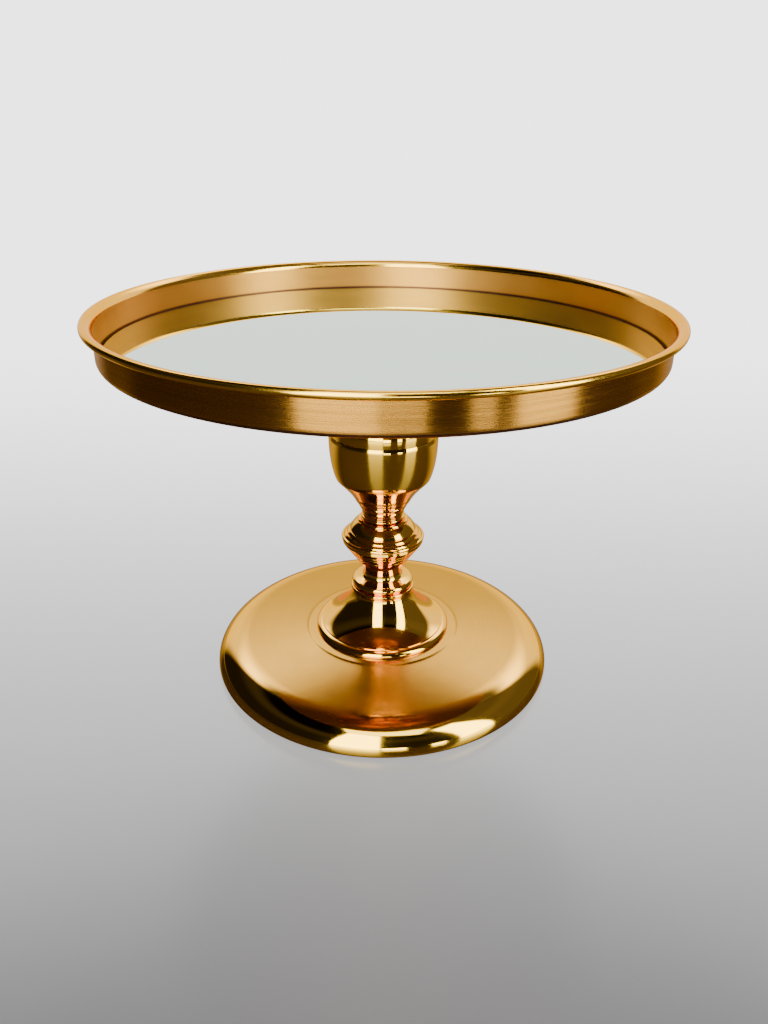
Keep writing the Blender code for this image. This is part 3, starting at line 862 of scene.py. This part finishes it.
class CAKESTAND_OT_bead(Operator):
    """Turn the bead and ring on top of the bell"""
    bl_idname = "cake_stand.bead"
    bl_label = "Bead"

    def execute(self, context):
        bottom, top, radius = extent("stem_bead")
        edge = 0.8 * MM
        ring = 2.9 * MM
        roll = 2.3 * MM
        bead = 18.0 * MM
        groove = bead - 1.6 * MM
        neck = 10.8 * MM
        roll_z = bottom + ring + roll
        outline = [(ROD_BORE, bottom)]
        outline += arc((radius - edge, bottom + edge), edge, -90.0, 0.0, 8)
        outline += arc((radius - edge, bottom + ring - edge), edge, 0.0, 90.0, 8)
        outline.append((groove, bottom + ring))
        outline += arc((bead - roll, roll_z), roll, -70.0, 90.0, 20)
        outline += curve((bead - roll, roll_z + roll), (neck, top), ((-3.3, 0.4), (0.0, -3.1)), 16)
        outline.append((ROD_BORE, top))
        stem_piece(context, "bead_turning", outline, "stem_bead")
        return {"FINISHED"}


class CAKESTAND_OT_bell(Operator):
    """Spin the bell foot, with its stepped and rolled rim"""
    bl_idname = "cake_stand.bell"
    bl_label = "Bell foot"

    def execute(self, context):
        bottom, top, radius = extent("bell_foot")
        crown = 17.7 * MM
        edge = 0.7 * MM
        rim_width = 3.4 * MM
        rim_height = 2.6 * MM
        rim_z = bottom + 0.6 * MM
        step = radius - rim_width
        step_z = bottom + 3.2 * MM
        step_out = 0.1 * MM
        path = [(ROD_BORE, top)]
        path += arc((crown - edge, top - edge), edge, 90.0, 10.0, 6)
        path += curve((crown, top - edge), (step, step_z + edge), ((2.8, -9.0), (-9.0, 3.9)), 32)
        path.append((step + step_out, step_z))
        path += arc((step, rim_z), (rim_width, rim_height), 78.0, 0.0, 14)
        path.append((radius, bottom))
        stem_piece(context, "bell_turning", sheet_outline(path, STEM_SHEET), "bell_foot")
        return {"FINISHED"}


class CAKESTAND_OT_base(Operator):
    """Spin the base, with its polished rim and rolled hem, lay the felt under it, and paint its weight"""
    bl_idname = "cake_stand.base"
    bl_label = "Base"

    def execute(self, context):
        base = context.scene.cake_stand_base
        metals = context.scene.cake_stand_metals
        bottom, top, radius = extent("base_disc")
        boss = reach("bell_foot") + 4.6 * MM
        boss_foot = (boss + 2.0 * MM, top - 0.5 * MM)
        rim = arc((radius - base.shoulder_inset, base.widest),
                  (base.shoulder_inset, top - base.fall - base.widest), 80.0, 0.0, 40)
        path = [(ROD_BORE, top)]
        path += curve((boss, top), boss_foot, ((1.0, 0.0), (-0.8, 0.06)), 10)
        path += curve(boss_foot, rim[0], ((8.0, -0.6), (-8.0, 0.9)), 16) + rim
        path += arc((radius - base.hem, base.widest), (base.hem, base.widest - bottom), 0.0, -90.0, 12)
        piece = turned("base_shell", sheet_outline(path, base.sheet), WIDE_STEPS,
                       [base_gold(metals, rim[0][0])])
        place(piece, "pedestal", "satin_gold", "base_disc")

        bottom, top, radius = extent("foot_pad")
        outline = rounded_disc(0.0, radius, bottom, top, 0.4 * MM, 4)
        piece = turned("felt_pad", outline, WIDE_STEPS, [black_felt()])
        place(piece, "pedestal", "black_felt", "foot_pad")
        refinish(cast_iron(), ["base_weight"])
        return {"FINISHED"}


# Stage

CAMERA_PLACE = (0.0006, -0.4292, 0.2998)
CAMERA_DIP = 25.53
CAMERA_ROLL = 0.41
CAMERA_LENS = 29.03
CAMERA_SENSOR = 36.0

WINDOW_COLOR = (0.85, 1.0, 0.66)
WINDOW_DISTANCE = 1.5
WINDOW_FOOT = 0.02
WINDOW_TOP = 2.6

LOW_DISTANCE = 0.9
LOW_HEIGHT = 0.07
LOW_TALL = 0.1


def bearing(azimuth):
    """The level direction at an angle, in degrees, to the right of the front."""
    around = math.radians(azimuth)
    return Vector((math.sin(around), -math.cos(around), 0.0))


def soft_light(name, center, facing, size, brightness, color=WINDOW_COLOR):
    """A soft rectangular light, given by its middle, the way it faces, its size and its brightness."""
    light = bpy.data.lights.new(name, "AREA")
    light.shape = "RECTANGLE"
    light.size, light.size_y = size
    light.energy = brightness * math.pi * light.size * light.size_y
    light.color = color
    lamp = bpy.data.objects.new(name, light)
    lamp.location = center
    lamp.rotation_mode = "QUATERNION"
    lamp.rotation_quaternion = (-Vector(facing)).to_track_quat("Z", "Y")
    lamp.visible_camera = False
    bpy.context.scene.collection.objects.link(lamp)
    return lamp


def window_light(name, azimuth, span, brightness):
    """A tall window in front of the stand, from the floor up, spanning an angle at a bearing."""
    away = bearing(azimuth)
    center = away * WINDOW_DISTANCE + Vector((0.0, 0.0, (WINDOW_FOOT + WINDOW_TOP) / 2))
    width = 2 * WINDOW_DISTANCE * math.tan(math.radians(span / 2))
    return soft_light(name, center, -away, (width, WINDOW_TOP - WINDOW_FOOT), brightness)


def low_light(name, azimuth, width, brightness):
    """A low bright strip close in front, which gives the base's rim its short highlights."""
    away = bearing(azimuth)
    center = away * LOW_DISTANCE + Vector((0.0, 0.0, LOW_HEIGHT))
    return soft_light(name, center, -away, (width, LOW_TALL), brightness)


def mirror_cards(brightness):
    """Two white cards that light only the mirror, so that it looks pale from every side."""
    only_mirror = bpy.data.collections.new("mirror_cards_light")
    only_mirror.objects.link(bpy.data.objects["mirror_disc"])
    for name, center, facing, size in (
            ("card_overhead", (0.0, 0.0, 1.5), (0.0, 0.0, -1.0), (6.0, 6.0)),
            ("card_in_front", (0.0, -3.0, 0.8), (0.0, 1.0, 0.0), (8.0, 1.6))):
        card = soft_light(name, center, facing, size, brightness, WHITE)
        card.light_linking.receiver_collection = only_mirror


def shining(tree, strength):
    node = tree.nodes.new("ShaderNodeEmission")
    node.inputs["Strength"].default_value = strength
    return node.outputs["Emission"]


def build_floor(stage):
    """A plain pale floor that fades into the background; the metal sees it darker than the camera does."""
    floor_radius = 12.0
    fade_depths = (-0.38, 0.8)
    fade_distances = (0.3, 1.0)
    lit_depths = (0.05, 0.22)
    lit_distances = (0.4, 0.6)
    work = bmesh.new()
    bmesh.ops.create_circle(work, cap_ends=True, segments=96, radius=floor_radius)
    mesh = bpy.data.meshes.new("floor")
    work.to_mesh(mesh)
    work.free()
    floor = bpy.data.objects.new("floor", mesh)
    bpy.context.scene.collection.objects.link(floor)

    made, tree, pale = surface("pale_floor", 0.0, 0.16)
    mottle = grain(tree, 7.0, detail=4.0)
    dress(tree, pale, tones(tree, mottle, shades(stage.floor, 0.97, 1.03)),
          spread(tree, mottle, 0.2, 0.28))
    dim = tree.nodes.new("ShaderNodeBsdfPrincipled")
    dim.inputs["Base Color"].default_value = (*stage.reflected_floor, 1.0)
    dim.inputs["Roughness"].default_value = 0.2
    position = object_place(tree)
    depth = parts(tree, position)[1]
    distance = vector_node(tree, "LENGTH", position)
    seen = tree.nodes.new("ShaderNodeLightPath").outputs["Is Camera Ray"]
    lit = product(tree, spread(tree, depth, 0.0, 1.0, *lit_depths),
                  spread(tree, distance, 1.0, 0.1, *lit_distances))
    reflected = mixed(tree, lit, dim.outputs["BSDF"], shining(tree, stage.floor_behind))
    near = mixed(tree, seen, reflected, pale.outputs["BSDF"])
    either = math_node(tree, "MAXIMUM", spread(tree, depth, 0.0, 1.0, *fade_depths),
                       spread(tree, distance, 0.0, 1.0, *fade_distances))
    faded = mixed(tree, product(tree, either, seen), near, shining(tree, stage.background))
    tree.links.new(faded, tree.nodes["Material Output"].inputs["Surface"])
    mesh.materials.append(made)


def build_world(stage):
    """A white backdrop behind, a pale ceiling and a dim room; the camera sees plain pale grey."""
    backdrop_azimuth = 176.0
    backdrop_edge = (0.60, 0.74)
    backdrop_rise = (0.46, 0.66)
    backdrop_top = (0.68, 0.78)
    side_azimuth = 100.0
    side_edge = (0.80, 0.95)
    ceiling_edge = (0.95, 0.985)
    world = bpy.data.worlds.new("studio")
    world.use_nodes = True
    bpy.context.scene.world = world
    tree = world.node_tree
    direction = tree.nodes.new("ShaderNodeTexCoord").outputs["Generated"]
    heading = vector_node(tree, "NORMALIZE", vector_node(tree, "MULTIPLY", direction, LEVEL))
    height = parts(tree, direction)[2]

    def towards(azimuth, bottom, top, edge):
        """A brightness that grows as the heading nears an angle to the right of the front."""
        facing = vector_node(tree, "DOT_PRODUCT", heading, tuple(bearing(azimuth)))
        return spread(tree, facing, bottom, top, *edge)

    behind = towards(backdrop_azimuth, stage.room, stage.backdrop, backdrop_edge)
    rising = product(tree, spread(tree, height, 1.0, 2.8, *backdrop_rise),
                     spread(tree, height, 1.0, 0.03, *backdrop_top))
    right = towards(side_azimuth, 0.0, stage.side, side_edge)
    ceiling = spread(tree, height, 0.0, stage.ceiling, *ceiling_edge)
    room = tree.nodes["Background"]
    room.inputs["Color"].default_value = (*WHITE, 1.0)
    tree.links.new(added(tree, added(tree, product(tree, behind, rising), right), ceiling),
                   room.inputs["Strength"])
    plain = tree.nodes.new("ShaderNodeBackground")
    plain.inputs["Color"].default_value = (1.0, 1.0, 1.01, 1.0)
    plain.inputs["Strength"].default_value = stage.background
    seen = tree.nodes.new("ShaderNodeLightPath").outputs["Is Camera Ray"]
    tree.links.new(mixed(tree, seen, room.outputs["Background"], plain.outputs["Background"]),
                   tree.nodes["World Output"].inputs["Surface"])


class CAKESTAND_OT_stage(Operator):
    """Set up the camera, the pale floor, the soft lights and the surroundings"""
    bl_idname = "cake_stand.stage"
    bl_label = "Stage"

    def execute(self, context):
        stage = context.scene.cake_stand_stage
        lens = bpy.data.cameras.new("camera")
        lens.sensor_width = CAMERA_SENSOR
        lens.lens = CAMERA_LENS
        lens.clip_start = 0.01
        camera = bpy.data.objects.new("camera", lens)
        tilt = Matrix.Rotation(math.radians(90.0 - CAMERA_DIP), 4, "X")
        roll = Matrix.Rotation(math.radians(CAMERA_ROLL), 4, "Z")
        camera.matrix_world = Matrix.Translation(CAMERA_PLACE) @ tilt @ roll
        context.scene.collection.objects.link(camera)
        context.scene.camera = camera

        build_floor(stage)
        build_world(stage)
        window_light("left_window", -15.5, 29.0, stage.window)
        window_light("right_window", 58.5, 23.0, stage.window)
        soft_light("high_window", (0.1, -1.05, 2.6), (0.0, 0.2, -1.0), (1.7, 0.75), stage.window / 2)
        mirror_cards(stage.backdrop)
        low_light("low_light_left", 7.0, 0.22, stage.window)
        low_light("low_light_right", 33.0, 0.13, stage.window)
        return {"FINISHED"}


# The stage comes last, because its cards light the mirror
OPERATORS = (
    CAKESTAND_OT_tray, CAKESTAND_OT_mirror, CAKESTAND_OT_fixing,
    CAKESTAND_OT_seat, CAKESTAND_OT_cup, CAKESTAND_OT_neck, CAKESTAND_OT_knop,
    CAKESTAND_OT_bead, CAKESTAND_OT_bell, CAKESTAND_OT_base, CAKESTAND_OT_stage,
)
GROUPS = {
    "cake_stand_metals": StandMetals,
    "cake_stand_tray": StandTray,
    "cake_stand_stem": StandStem,
    "cake_stand_base": StandBase,
    "cake_stand_stage": StandStage,
}


class CAKESTAND_PT_panel(Panel):
    """Lists the pieces and their settings"""
    bl_idname = "CAKESTAND_PT_panel"
    bl_label = "Cake Stand"
    bl_space_type = "VIEW_3D"
    bl_region_type = "UI"
    bl_category = "Cake Stand"

    def draw(self, context):
        for group in GROUPS:
            settings = getattr(context.scene, group)
            box = self.layout.box()
            for name in settings.__annotations__:
                box.prop(settings, name)
        for operator in OPERATORS:
            self.layout.operator(operator.bl_idname)


def register():
    for item in (*GROUPS.values(), *OPERATORS, CAKESTAND_PT_panel):
        bpy.utils.register_class(item)
    for name, group in GROUPS.items():
        setattr(bpy.types.Scene, name, PointerProperty(type=group))


def unregister():
    for name in GROUPS:
        delattr(bpy.types.Scene, name)
    for item in (CAKESTAND_PT_panel, *reversed(OPERATORS), *GROUPS.values()):
        bpy.utils.unregister_class(item)


def main():
    register()
    for operator in OPERATORS:
        group, name = operator.bl_idname.split(".")
        getattr(getattr(bpy.ops, group), name)()


if __name__ == "__main__":
    main()
